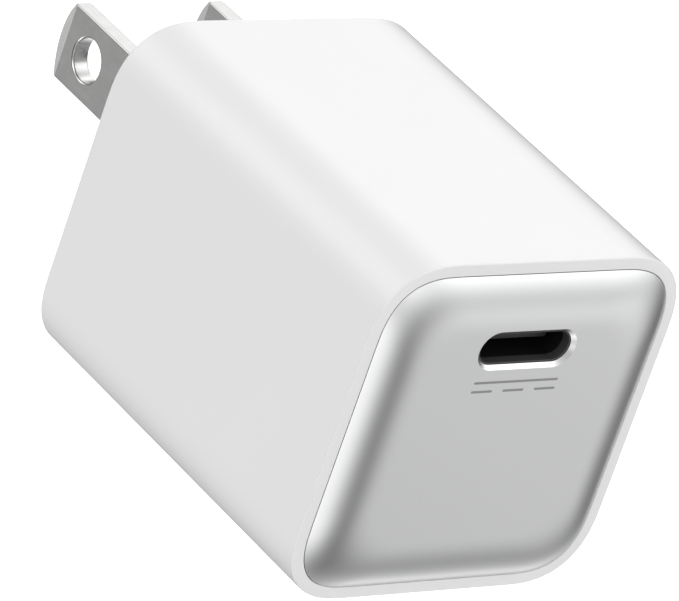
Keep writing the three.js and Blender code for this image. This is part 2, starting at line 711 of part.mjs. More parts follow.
function addPowerStage() {
  const stage = new THREE.Group();
  const { half, front, back, low, high } = MAIN_BOARD;
  const floor = high + GAP;
  add(stage, "main_board", circuitBoard(half, front, back, high - low), boardGreen, [0, 0, low]);
  [-7.4, 0, 7.4].forEach((x, i) => {
    add(stage, `bulk_capacitor_${i + 1}`, capacitorCan(3.6, 12.2), canSleeve, [x, -2.1, floor]);
  });
  const centre = [-3.5, -11.3];
  add(stage, "transformer_core_lower", transformerCore(), ferrite, [...centre, floor]);
  const upper = add(stage, "transformer_core_upper", transformerCore(), ferrite, [...centre, floor + 12]);
  upper.rotation.set(Math.PI, 0, 0);
  add(stage, "transformer_bobbin", transformerBobbin(), darkPlastic, [...centre, floor + 6]);
  add(stage, "transformer_winding", ring(3.2, 5.1, -2.9, 2.9), tape, [...centre, floor + 6]);
  add(stage, "optocoupler", leadedChip(4, 4.6, 3.4, 2), glassy, [7.9, -14, floor]);
  const disc = new THREE.CylinderGeometry(3.5, 3.5, 2.6, ROUND_STEPS);
  add(stage, "y_capacitor", disc, ceramicBlue, [7.9, -8.2, floor + 3.6]);
  const under = low - GAP;
  add(stage, "bridge_rectifier", block(4.7, 3.9, 1.2), blackChip, [-6.5, -3, under - 1.2]);
  add(stage, "power_stage_chip", block(8, 8, 0.9), blackChip, [2.5, -4, under - 0.9]);
  add(stage, "primary_controller", leadedChip(3.9, 4.9, 1.2, 4), blackChip, [2.5, -13, under - 1.25]);
  add(stage, "thermal_pad", block(0.6, 7.5, 7), padGrey, [-11.45, -11.3, 9]);
  add(stage, "insulation_sheet", block(17.4, 24.5, 0.15), filmAmber, [0, -10.6, WALL + 0.15]);
  add(stage, "heat_spreader", heatSpreader(), copper);
  return stage;
}

function addInputSide() {
  const side = new THREE.Group();
  const { half, front, back, low } = INPUT_BOARD;
  const top = low + BOARD + GAP;
  add(side, "input_board", circuitBoard(half, front, back, BOARD), boardGreen, [0, 0, low]);
  const choke = [-6.1, -3.4, top + 2.3];
  add(side, "choke_core", ring(2.1, 4, -1.4, 1.4), ferrite, choke);
  add(side, "choke_winding_left", chokeWinding(-1), copper, choke);
  add(side, "choke_winding_right", chokeWinding(1), copper, choke);
  add(side, "choke_divider", box([-0.3, 0.3], [-1.9, 1.9], [-2.2, 2.2]), greyPlastic, choke);
  add(side, "varistor", rodX(3.1, [-1.1, 1.1], 0, 0), ceramicBlue, [0.4, -3.6, top + 3.2]);
  add(side, "x_capacitor", block(4.6, 8.4, 6.2), tape, [4.2, -3.6, top]);
  add(side, "fuse", rodY(1.7, 0, [-3.9, 3.9], 0), glassy, [8.8, -3.6, top + 1.8]);
  return side;
}

group.add(addCasing(), addProngs(), addOutputSide(), addPowerStage(), addInputSide());

export default group;
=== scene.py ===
"""Looks of a compact wall charger with folding prongs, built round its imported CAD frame.

Everything is in metres in the frame's own axes: +Z up, -Y the socket side, +Y the wall side.
Places and sizes come from the boxes of the CAD nodes and from the hinge. The rest are details of
the surface and of what lies behind it.
"""

import json
import math

import bmesh
import bpy
from mathutils import Matrix, Vector


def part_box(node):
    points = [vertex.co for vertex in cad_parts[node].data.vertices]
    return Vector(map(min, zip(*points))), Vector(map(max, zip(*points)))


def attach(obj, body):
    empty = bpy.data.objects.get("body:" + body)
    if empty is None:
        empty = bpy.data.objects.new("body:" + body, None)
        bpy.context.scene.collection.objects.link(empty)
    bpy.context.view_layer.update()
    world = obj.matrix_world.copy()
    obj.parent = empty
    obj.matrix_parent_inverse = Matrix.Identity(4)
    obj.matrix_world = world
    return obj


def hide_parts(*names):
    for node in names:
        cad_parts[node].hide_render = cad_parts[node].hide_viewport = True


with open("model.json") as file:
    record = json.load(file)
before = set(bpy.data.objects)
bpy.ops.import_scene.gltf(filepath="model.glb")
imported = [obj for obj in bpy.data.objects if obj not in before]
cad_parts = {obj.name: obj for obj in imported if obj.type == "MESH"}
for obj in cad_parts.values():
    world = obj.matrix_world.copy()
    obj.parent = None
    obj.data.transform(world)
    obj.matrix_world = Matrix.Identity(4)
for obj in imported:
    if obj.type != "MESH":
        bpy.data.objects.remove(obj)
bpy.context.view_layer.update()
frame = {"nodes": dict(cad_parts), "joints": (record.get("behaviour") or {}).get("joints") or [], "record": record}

MM = 0.001
MICRON = 0.001 * MM
WELD = 1e-7  # corners closer than this are one
PAST = 1 * MM  # how far a cutting tool reaches past what it cuts
HINGE = Vector(frame["joints"][0]["pos_m"])
CASE, PRONGS = "charger", "prongs"

# ---------------------------------------------------------------- places, from the frame

sleeve_low, sleeve_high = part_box("outer_sleeve")
panel_low, panel_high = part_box("front_panel")
cover_low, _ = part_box("rear_cover")
prong_low, prong_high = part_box("right_blade")
_, carrier_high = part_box("hinge_carrier")
shell_low, shell_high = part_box("usb_shell")
tongue_low, tongue_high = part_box("usb_tongue")

BODY = sleeve_high.x - sleeve_low.x  # width and height of the sleeve
MID = (sleeve_low.z + sleeve_high.z) / 2
RIM = sleeve_low.y  # front end of the sleeve
BACK = sleeve_high.y  # rear face
FRONT = panel_low.y  # crown of the panel
CROWN = RIM - FRONT
PANEL_INSET = panel_low.x - sleeve_low.x
COVER_INSET = cover_low.x - sleeve_low.x
COVER_FRONT = cover_low.y  # innermost face of the cover
SEAT_BACK = panel_high.y  # back edge of the panel, in its seat
PRONG_PITCH = prong_low.x + prong_high.x
PRONG_THICK = prong_high.x - prong_low.x
TIP = prong_high.y
PORT_HEIGHT = (shell_low.z + shell_high.z) / 2

# ---------------------------------------------------------------- details

CORNER_ZONE = 6.73 * MM  # side of the square that each rounded corner takes up
CORNER_POWER = 2.6  # 2 is a circular corner, more is squarer
CORNER_STEPS = 22
ROUND_STEPS = 72  # sides of a turned surface
BORE_STEPS = 24  # sides of a hole or ring that is never seen

WALL = 1.6 * MM  # of the sleeve
GAP = 0.1 * MM  # between parts that fit into each other
SEAM = 0.05 * MM  # round the panel
SEAT_INSET = PANEL_INSET - SEAM
END_EDGE = 0.12 * MM  # rounding of the sleeve's two ends
SHEET = 0.85 * MM  # metal of the front panel
ROLL = 4.4 * MM  # width of the panel's rolled edge
ROLL_POWER = 2.8  # how softly the roll runs out into the flat
FLAT_ZONE = 4 * MM  # side of the corners of the flat
LINE = 0.05 * MM  # rounding of an edge that looks sharp

PORT_WIDTH = 8.45 * MM  # of the opening in the panel
PORT_TALL = 2.65 * MM
PORT_CHAMFER = 0.3 * MM
PORT_SLACK = 0.04 * MM  # between the opening and what fills it
PORT_WALL = 0.1 * MM  # of the collar and of the CAD's shell
COLLAR_BACK = 0.05 * MM  # from the inner edge of the chamfer to the collar
COLLAR_DEPTH = 0.8 * MM
SHELL_BACK = 0.07 * MM  # from there to the shell, on top of the collar's depth
MARK_DROP = 3.05 * MM  # from the middle of the port to the middle of the mark

SLOT_HALF = 1.1 * MM  # half the width of a prong's slot
NOTCH_RISE = 0.3 * MM  # of the notch above the inside of the sleeve's wall
COVER_THICK = 1.2 * MM
PLATE_FRONT = BACK - COVER_THICK
INNER = PLATE_FRONT + GAP  # what stands on the plate's inside runs into it up to here
TROUGH_WALL = 0.9 * MM
TROUGH_SHEET = 1 * MM  # at the bottom of a trough
TROUGH_FLOOR = COVER_FRONT + TROUGH_SHEET
BARREL = 1.45 * MM  # radius of the hinge barrel
BARREL_SIDES = 6  # of its seats in the prongs
LUG_IN = 8.6 * MM  # from the middle to the near side of a hinge lug
LUG_OUT = 9.7 * MM
SCREW_OUT = 10.4 * MM  # from the middle to a retainer screw
SCREW_LEVEL = MID + 7.95 * MM
PIN_HOLE = 0.7 * MM  # radius
HOLE = 1.75 * MM  # radius of the hole in a prong
HOLE_FROM_TIP = 4.4 * MM
BULGE = 1.15 * MM  # how far the prong's tip is arched
TIP_BEVEL = 1.4 * MM  # length of the bevel on each face of the tip
ROOT_THICK = 1.42 * MM  # of the prong inside the cover
TIP_EDGE = 0.62 * MM  # thickness left at the tip

# ---------------------------------------------------------------- mesh helpers


def link(piece):
    bpy.context.scene.collection.objects.link(piece)
    return piece


def new_piece(name, vertices, faces):
    """A closed mesh whose faces point out."""
    mesh = bpy.data.meshes.new(name)
    mesh.from_pydata([tuple(v) for v in vertices], [], faces)
    form = bmesh.new()
    form.from_mesh(mesh)
    bmesh.ops.remove_doubles(form, verts=form.verts, dist=WELD)
    bmesh.ops.recalc_face_normals(form, faces=form.faces)
    form.to_mesh(mesh)
    form.free()
    return link(bpy.data.objects.new(name, mesh))


def skin(loops, base=0, around=False):
    """Faces through loops of equal counts, closed on themselves or capped at both ends."""
    count = len(loops[0])
    last = len(loops) if around else len(loops) - 1
    faces = []
    for j in range(last):
        here = base + j * count
        there = base + (j + 1) % len(loops) * count
        for i in range(count):
            k = (i + 1) % count
            faces.append((here + i, here + k, there + k, there + i))
    if not around:
        end = base + len(loops) * count
        faces.append(tuple(range(base, base + count)))
        faces.append(tuple(range(end - count, end)))
    return faces


def loft(name, loops, around=False):
    """A piece whose skin runs through the loops."""
    return new_piece(name, [v for loop in loops for v in loop], skin(loops, around=around))


def lofts(name, stacks):
    """One piece of several capped skins, one for each stack of loops."""
    vertices, faces = [], []
    for loops in stacks:
        faces += skin(loops, base=len(vertices))
        vertices += [v for loop in loops for v in loop]
    return new_piece(name, vertices, faces)


def slab_x(name, outline, x0, x1):
    """An outline of (y, z) points, pushed along X."""
    return loft(name, [[Vector((x, y, z)) for y, z in outline] for x in (x0, x1)])


def box(x0, x1, y0, y1, z0, z1):
    return slab_x("tool", [(y0, z0), (y1, z0), (y1, z1), (y0, z1)], x0, x1)


def circle_x(radius, x, y, z, steps=ROUND_STEPS):
    turns = [2 * math.pi * i / steps for i in range(steps)]
    return [Vector((x, y + radius * math.cos(a), z + radius * math.sin(a))) for a in turns]


def rod_x(profile, y, z, steps=ROUND_STEPS):
    """A turned solid along X through (x, radius) stations."""
    return loft("tool", [circle_x(r, x, y, z, steps) for x, r in profile])


def rod_y(radius, x, y0, y1, z, steps=ROUND_STEPS // 2):
    turns = [2 * math.pi * i / steps for i in range(steps)]
    ring = [(x + radius * math.cos(a), z + radius * math.sin(a)) for a in turns]
    return loft("tool", [[Vector((a, y, b)) for a, b in ring] for y in (y0, y1)])


def settle(piece):
    """Applies a piece's modifiers to its mesh."""
    graph = bpy.context.evaluated_depsgraph_get()
    made = bpy.data.meshes.new_from_object(piece.evaluated_get(graph))
    piece.modifiers.clear()
    piece.data = made
    return piece


def shape(piece, operation, tools):
    """Joins, cuts or crosses a piece with closed tools, which are used up."""
    for tool in tools:
        step = piece.modifiers.new("step", "BOOLEAN")
        step.object = tool
        step.operation = operation
        step.solver = "EXACT"
    settle(piece)
    for tool in tools:
        bpy.data.objects.remove(tool)
    return piece


def tidy(piece):
    """Merges corners closer than a micrometre and drops slivers."""
    form = bmesh.new()
    form.from_mesh(piece.data)
    bmesh.ops.remove_doubles(form, verts=form.verts, dist=MICRON)
    bmesh.ops.dissolve_degenerate(form, edges=form.edges, dist=MICRON)
    form.to_mesh(piece.data)
    form.free()
    return piece


def polish(piece, name, bevel=0.0, bevel_angle=30, smooth_angle=38):
    """Rounds the sharp edges, smooths the rest and weights normals so that flat faces stay flat."""
    tidy(piece)
    if bevel:
        step = piece.modifiers.new("edges", "BEVEL")
        step.width = bevel
        step.segments = 3
        step.limit_method = "ANGLE"
        step.angle_limit = math.radians(bevel_angle)
        step.use_clamp_overlap = False
        tidy(settle(piece))
    piece.data.polygons.foreach_set("use_smooth", [True] * len(piece.data.polygons))
    piece.data.set_sharp_from_angle(angle=math.radians(smooth_angle))
    weights = piece.modifiers.new("normals", "WEIGHTED_NORMAL")
    weights.keep_sharp = True
    settle(piece)
    piece.name = name
    piece.data.name = name
    return piece


def show(piece, body, finish, *nodes, slot=None):
    """Gives a finished piece its body, its finish and the CAD nodes that it stands for. The slot is not used."""
    piece.data.materials.clear()
    piece.data.materials.append(finishes[finish])
    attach(piece, body)
    if nodes:
        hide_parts(*nodes)
    return piece


# ---------------------------------------------------------------- sections


def squircle(inset, y, half=BODY / 2, zone=CORNER_ZONE):
    """The sleeve's outline, or one like it, moved in by inset, as a loop in the X-Z plane."""
    reach = half - zone
    q = 1 / (CORNER_POWER - 1)
    loop = []
    for corner in range(4):
        sx = 1 if corner in (0, 3) else -1
        sz = 1 if corner < 2 else -1
        for i in range(CORNER_STEPS + 1):
            step = i if corner % 2 == 0 else CORNER_STEPS - i
            angle = step / CORNER_STEPS * math.pi / 2
            c, s = max(math.cos(angle), 0), max(math.sin(angle), 0)
            norm = (c ** (CORNER_POWER * q) + s ** (CORNER_POWER * q)) ** (1 / CORNER_POWER)
            x = reach + zone * c**q / norm - inset * c
            z = reach + zone * s**q / norm - inset * s
            loop.append(Vector((sx * x, y, MID + sz * z)))
    return loop


def obround(width, height, y, z=PORT_HEIGHT, steps=20, x=0.0):
    """A slot outline with round ends, as a loop in the X-Z plane."""
    r = height / 2
    loop = []
    for end in range(2):
        for i in range(steps + 1):
            angle = -math.pi / 2 + math.pi * (end + i / steps)
            centre = (1 if end == 0 else -1) * (width / 2 - r)
            loop.append(Vector((x + centre + r * math.cos(angle), y, z + r * math.sin(angle))))
    return loop


def quarter(steps):
    """(1 - cos, sin) of the angles of a quarter turn."""
    angles = [math.pi / 2 * i / steps for i in range(steps + 1)]
    return [(1 - math.cos(a), math.sin(a)) for a in angles]


# ---------------------------------------------------------------- casing


def sleeve():
    """The moulded tube with rounded ends, the panel's seat and the notches for the prong tips."""
    turn = quarter(steps=6)
    back = [squircle(END_EDGE * a, BACK - END_EDGE + END_EDGE * b) for a, b in turn]
    front = [squircle(END_EDGE * a, RIM + END_EDGE - END_EDGE * b) for a, b in turn]
    inside = [
        squircle(SEAT_INSET - LINE / 2, RIM),
        squircle(SEAT_INSET, RIM + LINE / 2),
        squircle(SEAT_INSET, SEAT_BACK + GAP),
        squircle(WALL, SEAT_BACK + GAP),
        squircle(WALL, BACK - LINE),
        squircle(WALL - LINE, BACK),
    ]
    tube = loft("tube", [*reversed(back), *front, *inside], around=True)
    notch_top = WALL + GAP + NOTCH_RISE
    notches = []
    for side in (-1, 1):
        x = side * PRONG_PITCH / 2
        notches.append(box(x - SLOT_HALF, x + SLOT_HALF, TROUGH_FLOOR, BACK + PAST, -PAST, notch_top))
    shape(tube, "DIFFERENCE", notches)
    return polish(tube, "sleeve_moulding", bevel=0.06 * MM, bevel_angle=50)


def front_panel():
    """The crowned satin front: a shallow tray with a rolled edge and a flared slot."""
    rim = squircle(PANEL_INSET, RIM)
    flat = squircle(0, RIM, BODY / 2 - PANEL_INSET - ROLL, FLAT_ZONE)
    outside = [squircle(PANEL_INSET, SEAT_BACK)]
    for a, _ in quarter(steps=20):
        rise = Vector((0, -CROWN * (1 - (1 - a) ** ROLL_POWER), 0))
        outside.append([v.lerp(w, a) + rise for v, w in zip(rim, flat)])
    skirt = 0.5 * MM
    hollow = [squircle(PANEL_INSET + SHEET, SEAT_BACK + GAP)]
    for a, b in quarter(steps=8):
        inset = PANEL_INSET + SHEET + ROLL / 2 * a
        hollow.append(squircle(inset, RIM + skirt - (CROWN + skirt - SHEET) * b))
    socket = []
    for y in (SHEET + PAST, PORT_CHAMFER, 0, -LINE / 2, -PAST):
        grow = 2 * min(PORT_CHAMFER - y, PORT_CHAMFER + LINE / 2) if y <= PORT_CHAMFER else 0
        socket.append(obround(PORT_WIDTH + grow, PORT_TALL + grow, FRONT + y))
    panel = loft("panel", outside)
    shape(panel, "DIFFERENCE", [loft("tool", hollow), loft("tool", socket)])
    return polish(panel, "front_panel_pressing")


def finger_basin():
    """The space of the basin: a trough across both slots, rounded along its bottom."""
    half, low, high = 8.4 * MM, 2.9 * MM, 9.9 * MM
    depth, corner, steps = 3 * MM, 1.6 * MM, 8
    floor = BACK - depth
    outline = [(BACK + PAST, low), (BACK + PAST, high)]
    for turn in range(2):
        centre = high - corner if turn == 0 else low + corner
        for i in range(steps + 1):
            angle = math.pi / 2 * (1 + turn + i / steps)
            y = floor + corner + corner * math.cos(angle)
            outline.append((y, centre + corner * math.sin(angle)))
    return slab_x("tool", outline, -half, half)


def cover_plate():
    """The cover's plate, rounded along its outer edge."""
    edge = 0.25 * MM
    plate = [squircle(COVER_INSET, PLATE_FRONT), squircle(COVER_INSET, BACK - edge)]
    for a, b in quarter(steps=5)[1:]:
        plate.append(squircle(COVER_INSET + edge * a, BACK - edge + edge * b))
    return loft("cover", plate)


def cover_collar():
    """The ring on the plate's inside that centres the cover in the sleeve."""
    deep, wall = 3.2 * MM, 1 * MM
    out, end = COVER_INSET, BACK - deep
    ring = [(out, INNER), (out, end), (out + wall, end), (out + wall, INNER)]
    return loft("tool", [squircle(inset, y) for inset, y in ring], around=True)


def lug_span(side):
    """The two X places of a hinge lug."""
    return sorted((side * LUG_IN, side * LUG_OUT))


def cover_additions(side, trough_top):
    """On one side of the cover: the prong's trough, the lug for the pin and the screw boss."""
    x = side * PRONG_PITCH / 2
    half = SLOT_HALF + TROUGH_WALL
    lug_front, lug_rise = HINGE.y - 1.65 * MM, 1.85 * MM
    boss_radius, boss_front = 1.5 * MM, 5 * MM
    return [
        box(x - half, x + half, COVER_FRONT, INNER, COVER_INSET, trough_top),
        box(*lug_span(side), lug_front, INNER, HINGE.z - lug_rise, HINGE.z + lug_rise),
        rod_y(boss_radius, side * SCREW_OUT, boss_front, INNER, SCREW_LEVEL),
    ]


def cover_cuts(side, trough_top):
    """On one side of the cover: the prong's slot and trough, the pin's groove and the screw hole."""
    x = side * PRONG_PITCH / 2
    slot_x = (x - SLOT_HALF, x + SLOT_HALF)
    slot_top = prong_high.z + 0.33 * MM
    slack = 0.65 * MM  # radius of the pin's groove and of the screw's hole
    groove_front = HINGE.y - 3 * MM
    hole_front, hole_end = 4 * MM, PLATE_FRONT - 0.6 * MM
    lug_in, lug_out = lug_span(side)
    wide = (lug_in - PAST, lug_out + PAST)
    return [
        box(*slot_x, PLATE_FRONT - PAST, BACK + PAST, -PAST, slot_top),
        box(*slot_x, TROUGH_FLOOR, BACK, -PAST, trough_top + PAST),
        rod_x([(end, slack) for end in wide], HINGE.y, HINGE.z, BORE_STEPS),
        box(*wide, groove_front, HINGE.y, HINGE.z - slack, HINGE.z + slack),
        rod_y(slack, side * SCREW_OUT, hole_front, hole_end, SCREW_LEVEL, BORE_STEPS),
    ]


def rear_cover():
    """The rear cover: plate, collar, troughs, lugs and bosses, and a block with a finger basin."""
    trough_top = HINGE.z - BARREL - 0.2 * MM
    barrel_end, barrel_space = LUG_IN - GAP, BARREL + GAP
    added = [cover_collar()]
    removed = [rod_x([(end, barrel_space) for end in (-barrel_end, barrel_end)], HINGE.y, HINGE.z)]
    for side in (-1, 1):
        added += cover_additions(side, trough_top)
        removed += cover_cuts(side, trough_top)
    block_half, block_front, block_low, block_high = 9.4 * MM, BACK - 4 * MM, 1.9 * MM, 10.9 * MM
    added.append(box(-block_half, block_half, block_front, INNER, block_low, block_high))
    removed.append(finger_basin())
    cover = cover_plate()
    shape(cover, "UNION", added)
    shape(cover, "DIFFERENCE", removed)
    return polish(cover, "rear_cover_moulding", bevel=0.06 * MM, bevel_angle=40)


# ---------------------------------------------------------------- prongs


def prong_outline():
    """A prong from the side, as (y, z) points: round root, heel, straight bar and arched tip."""
    middle = (prong_low.z + prong_high.z) / 2
    half = (prong_high.z - prong_low.z) / 2
    root = prong_high.z - HINGE.z
    root_drop, root_steps = 0.6 * MM, 24
    heel, heel_cut = 1.4 * MM, 0.5 * MM
    arch = (half**2 + BULGE**2) / (2 * BULGE)
    spread = math.asin(half / arch)
    arch_steps = 32
    outline = []
    for i in range(root_steps + 1):
        angle = math.pi / 2 * (1 + i / root_steps)
        outline.append((HINGE.y + root * math.cos(angle), HINGE.z + root * math.sin(angle)))
    outline.append((HINGE.y - root, HINGE.z - root_drop))
    outline.append((HINGE.y - heel, prong_low.z + heel_cut))
    outline.append((HINGE.y - heel + heel_cut, prong_low.z))
    for i in range(arch_steps + 1):
        angle = spread * (2 * i / arch_steps - 1)
        outline.append((TIP - arch + arch * math.cos(angle), middle + arch * math.sin(angle)))
    return outline


def prong_taper(x):
    """A tool that gives a prong its thickness: thin at the root, full outside, bevelled at the tip."""
    thick, thin, edge = PRONG_THICK / 2, ROOT_THICK / 2, TIP_EDGE / 2
    step_start, step_end = BACK + 0.1 * MM, BACK + 0.45 * MM
    stations = [
        (prong_low.y - PAST, thin),
        (step_start, thin),
        (step_end, thick),
        (TIP - TIP_BEVEL, thick),
        (TIP, edge),
        (TIP + PAST, edge),
    ]
    profile = stations + [(y, -w) for y, w in reversed(stations)]
    levels = (prong_low.z - PAST, prong_high.z + PAST)
    return loft("tool", [[Vector((x + w, y, z)) for y, w in profile] for z in levels])


def prong(side, name):
    """A flat prong with a lipped hole near its tip and a six-sided seat for the barrel at its root."""
    x = side * PRONG_PITCH / 2
    ends = (x - 2 * MM, x + 2 * MM)  # well clear of both faces
    blade = slab_x("blade", prong_outline(), *ends)
    shape(blade, "INTERSECT", [prong_taper(x)])
    lip = 0.2 * MM
    rounding = [(PRONG_THICK / 2 - lip + lip * b, HOLE + lip * a) for a, b in quarter(steps=6)]
    hole = [(x - w, r) for w, r in reversed(rounding)] + [(x + w, r) for w, r in rounding]
    hole = [(ends[0], HOLE + lip), *hole, (ends[1], HOLE + lip)]
    seat = [(end, BARREL + GAP) for end in ends]
    middle = (prong_low.z + prong_high.z) / 2
    tools = [
        rod_x(hole, TIP - HOLE_FROM_TIP, middle),
        rod_x(seat, HINGE.y, HINGE.z, BARREL_SIDES),
    ]
    shape(blade, "DIFFERENCE", tools)
    return polish(blade, name, bevel=0.12 * MM, bevel_angle=32, smooth_angle=15)


def hinge_barrel():
    """The moulded barrel that joins the prongs: round, with six-sided seats inside them."""
    y, z = HINGE.y, HINGE.z
    seat = PRONG_PITCH / 2
    near = seat - ROOT_THICK / 2 - GAP
    far = seat + ROOT_THICK / 2 + GAP
    end = carrier_high.x
    edge = 0.2 * MM
    right = [(end - edge, BARREL), (end, BARREL - edge)]
    left = [(-x, radius) for x, radius in reversed(right)]
    barrel = rod_x(left + right, y, z)
    ring_radius = 3 * MM
    rings = []
    for side in (-1, 1):
        low, high = sorted((side * near, side * far))
        ring = rod_x([(low, ring_radius), (high, ring_radius)], y, z, BORE_STEPS)
        core = [(low - PAST, BARREL), (high + PAST, BARREL)]
        shape(ring, "DIFFERENCE", [rod_x(core, y, z, BARREL_SIDES)])
        rings.append(ring)
    flat, wide, reach = 1.1 * MM, 2.6 * MM, 3 * MM
    flats = [
        box(-wide, wide, y - reach, y - flat, z - reach, z + reach),
        box(-wide, wide, y - reach, y + reach, z - reach, z - flat),
    ]
    bore = rod_x([(-end - PAST, PIN_HOLE), (end + PAST, PIN_HOLE)], y, z, ROUND_STEPS // 2)
    shape(barrel, "DIFFERENCE", [*rings, *flats, bore])
    return polish(barrel, "hinge_barrel", bevel=0.05 * MM)


# ---------------------------------------------------------------- socket


def socket_collar():
    """The grey collar that fills the opening of the panel, in front of the shell."""
    front = FRONT + PORT_CHAMFER + COLLAR_BACK
    end = front + COLLAR_DEPTH
    lip = 0.04 * MM
    wide, tall = PORT_WIDTH - PORT_SLACK, PORT_TALL - PORT_SLACK
    inner_wide, inner_tall = wide - 2 * PORT_WALL, tall - 2 * PORT_WALL
    sizes = [
        (wide, tall, end),
        (wide, tall, front + lip),
        (wide - lip, tall - lip, front),
        (inner_wide, inner_tall, front + lip),
        (inner_wide, inner_tall, end),
    ]
    return polish(loft("collar", [obround(*size) for size in sizes], around=True), "socket_collar")


def socket_shell():
    """The shell: a thin flattened tube behind the collar, no wider than the panel's opening."""
    front, end = FRONT + PORT_CHAMFER + COLLAR_DEPTH + SHELL_BACK, shell_high.y
    wide, tall = PORT_WIDTH - PORT_SLACK, PORT_TALL - PORT_SLACK
    inner_wide = shell_high.x - shell_low.x - 2 * PORT_WALL
    inner_tall = shell_high.z - shell_low.z - 2 * PORT_WALL
    sizes = [
        (wide, tall, end),
        (wide, tall, front),
        (inner_wide, inner_tall, front),
        (inner_wide, inner_tall, end),
    ]
    return polish(loft("shell", [obround(*size) for size in sizes], around=True), "socket_shell")


def socket_insulator():
    """The black insulator: the tongue with a chamfered nose, a step at its root and a block behind."""
    front, end = tongue_low.y, tongue_high.y
    wide, tall = 6.65 * MM, 0.7 * MM
    nose, nose_length = 0.16 * MM, 0.3 * MM
    block_wide, block_tall, block_front = 8.1 * MM, 2.34 * MM, end - 1.6 * MM
    step_wide, step_tall, step_length = 7.2 * MM, 1.3 * MM, 0.7 * MM
    overlap = 0.2 * MM
    loops = []
    for y, inset in ((front, nose), (front + nose_length, 0), (block_front + overlap, 0)):
        loops.append(obround(wide - 2 * inset, tall - 2 * inset, y, steps=8))
    tongue = loft("tongue", loops)
    block = loft("tool", [obround(block_wide, block_tall, y) for y in (end, block_front)])
    step_ends = (block_front + overlap, block_front - step_length)
    step = loft("tool", [obround(step_wide, step_tall, y) for y in step_ends])
    shape(tongue, "UNION", [step, block])
    return polish(tongue, "socket_insulator", bevel=0.04 * MM, bevel_angle=40)


def socket_contacts():
    """Two rows of twelve contact strips, let into the faces of the tongue."""
    start, end = tongue_low.y + 0.7 * MM, tongue_high.y - 2.3 * MM
    pitch, half, count = 0.5 * MM, 0.13 * MM, 12
    leading, lead = (0, 3, 8, 11), 0.35 * MM  # the ground and power contacts reach further forward
    face, sink, proud, edge = 0.35 * MM, 0.06 * MM, 0.02 * MM, 0.03 * MM
    corners = ((-1, 0), (1, 0), (1, 1), (-1, 1))
    strips = []
    for row in (-1, 1):
        low, top = PORT_HEIGHT + row * (face - sink), PORT_HEIGHT + row * (face + proud)
        for i in range(count):
            x = (i - (count - 1) / 2) * pitch
            front = start + (0 if i in leading else lead)
            loops = []
            for inset, z in ((0, low), (0, top - row * edge / 2), (edge, top)):
                ends = (front + inset, end - inset)
                loops.append([Vector((x + cx * (half - inset), ends[cy], z)) for cx, cy in corners])
            strips.append(loops)
    return polish(lofts("contacts", strips), "socket_contacts")


def supply_mark():
    """A printed direct-current sign under the port: one bar over three dashes."""
    wide, bar, rise, ink = 7.9 * MM, 0.2 * MM, 0.38 * MM, 0.012 * MM
    dash = wide / 4
    z = PORT_HEIGHT - MARK_DROP
    levels = ((0, FRONT + ink), (0, FRONT - ink / 2), (ink, FRONT - ink))
    lines = [(0.0, wide, z + rise)] + [(k * (wide - dash) / 2, dash, z - rise) for k in (-1, 0, 1)]
    stacks = []
    for x, length, height in lines:
        stacks.append(
            [obround(length - trim, bar - trim, y, z=height, steps=6, x=x) for trim, y in levels]
        )
    return polish(lofts("mark", stacks), "supply_mark")


# ---------------------------------------------------------------- finishes

NOISE_RANGE = (0.3, 0.7)
WAVE_TURN = 20  # radians that Blender's wave texture turns in one unit


class Finish:
    """A Principled material under construction, with its textures in frame coordinates."""

    def __init__(self, name, roughness, metallic=0.0):
        self.material = bpy.data.materials.new(name)
        self.material.use_nodes = True
        self.nodes = self.material.node_tree.nodes
        self.links = self.material.node_tree.links
        self.shader = self.nodes["Principled BSDF"]
        self.shader.inputs["Roughness"].default_value = roughness
        self.shader.inputs["Metallic"].default_value = metallic
        self.place = self.nodes.new("ShaderNodeTexCoord").outputs["Object"]

    def stretched(self, scale):
        """Frame coordinates scaled unevenly, for streaks."""
        mapping = self.nodes.new("ShaderNodeMapping")
        mapping.inputs["Scale"].default_value = scale
        self.links.new(self.place, mapping.inputs["Vector"])
        return mapping.outputs["Vector"]

    def noise(self, size, detail=2.0, roughness=0.5, stretch=None):
        """Noise whose features are about size metres across, from 0 to 1."""
        texture = self.nodes.new("ShaderNodeTexNoise")
        texture.inputs["Scale"].default_value = 1 / size
        texture.inputs["Detail"].default_value = detail
        texture.inputs["Roughness"].default_value = roughness
        source = self.stretched(stretch) if stretch else self.place
        self.links.new(source, texture.inputs["Vector"])
        return texture.outputs["Fac"]

    def spread(self, value, low, high):
        """A noise value, which is mostly within NOISE_RANGE, spread from low to high."""
        ramp = self.nodes.new("ShaderNodeMapRange")
        ramp.inputs["From Min"].default_value = NOISE_RANGE[0]
        ramp.inputs["From Max"].default_value = NOISE_RANGE[1]
        ramp.inputs["To Min"].default_value = low
        ramp.inputs["To Max"].default_value = high
        self.links.new(value, ramp.inputs["Value"])
        return ramp.outputs["Result"]

    def colour(self, value, first, second):
        """The base colour, from first to second as value goes from 0 to 1."""
        mix = self.nodes.new("ShaderNodeMix")
        mix.data_type = "RGBA"
        mix.inputs["A"].default_value = (*first, 1)
        mix.inputs["B"].default_value = (*second, 1)
        self.links.new(value, mix.inputs["Factor"])
        self.links.new(mix.outputs["Result"], self.shader.inputs["Base Color"])
        return self

    def rough(self, value, low, high):
        self.links.new(self.spread(value, low, high), self.shader.inputs["Roughness"])
        return self

    def bump(self, value, depth, before=None):
        """Relief of about depth metres."""
        relief = self.nodes.new("ShaderNodeBump")
        relief.inputs["Distance"].default_value = depth
        self.links.new(value, relief.inputs["Height"])
        if before is not None:
            self.links.new(before, relief.inputs["Normal"])
        self.links.new(relief.outputs["Normal"], self.shader.inputs["Normal"])
        return relief.outputs["Normal"]


def tinted(colour, factor):
    return tuple(min(c * factor, 1) for c in colour)


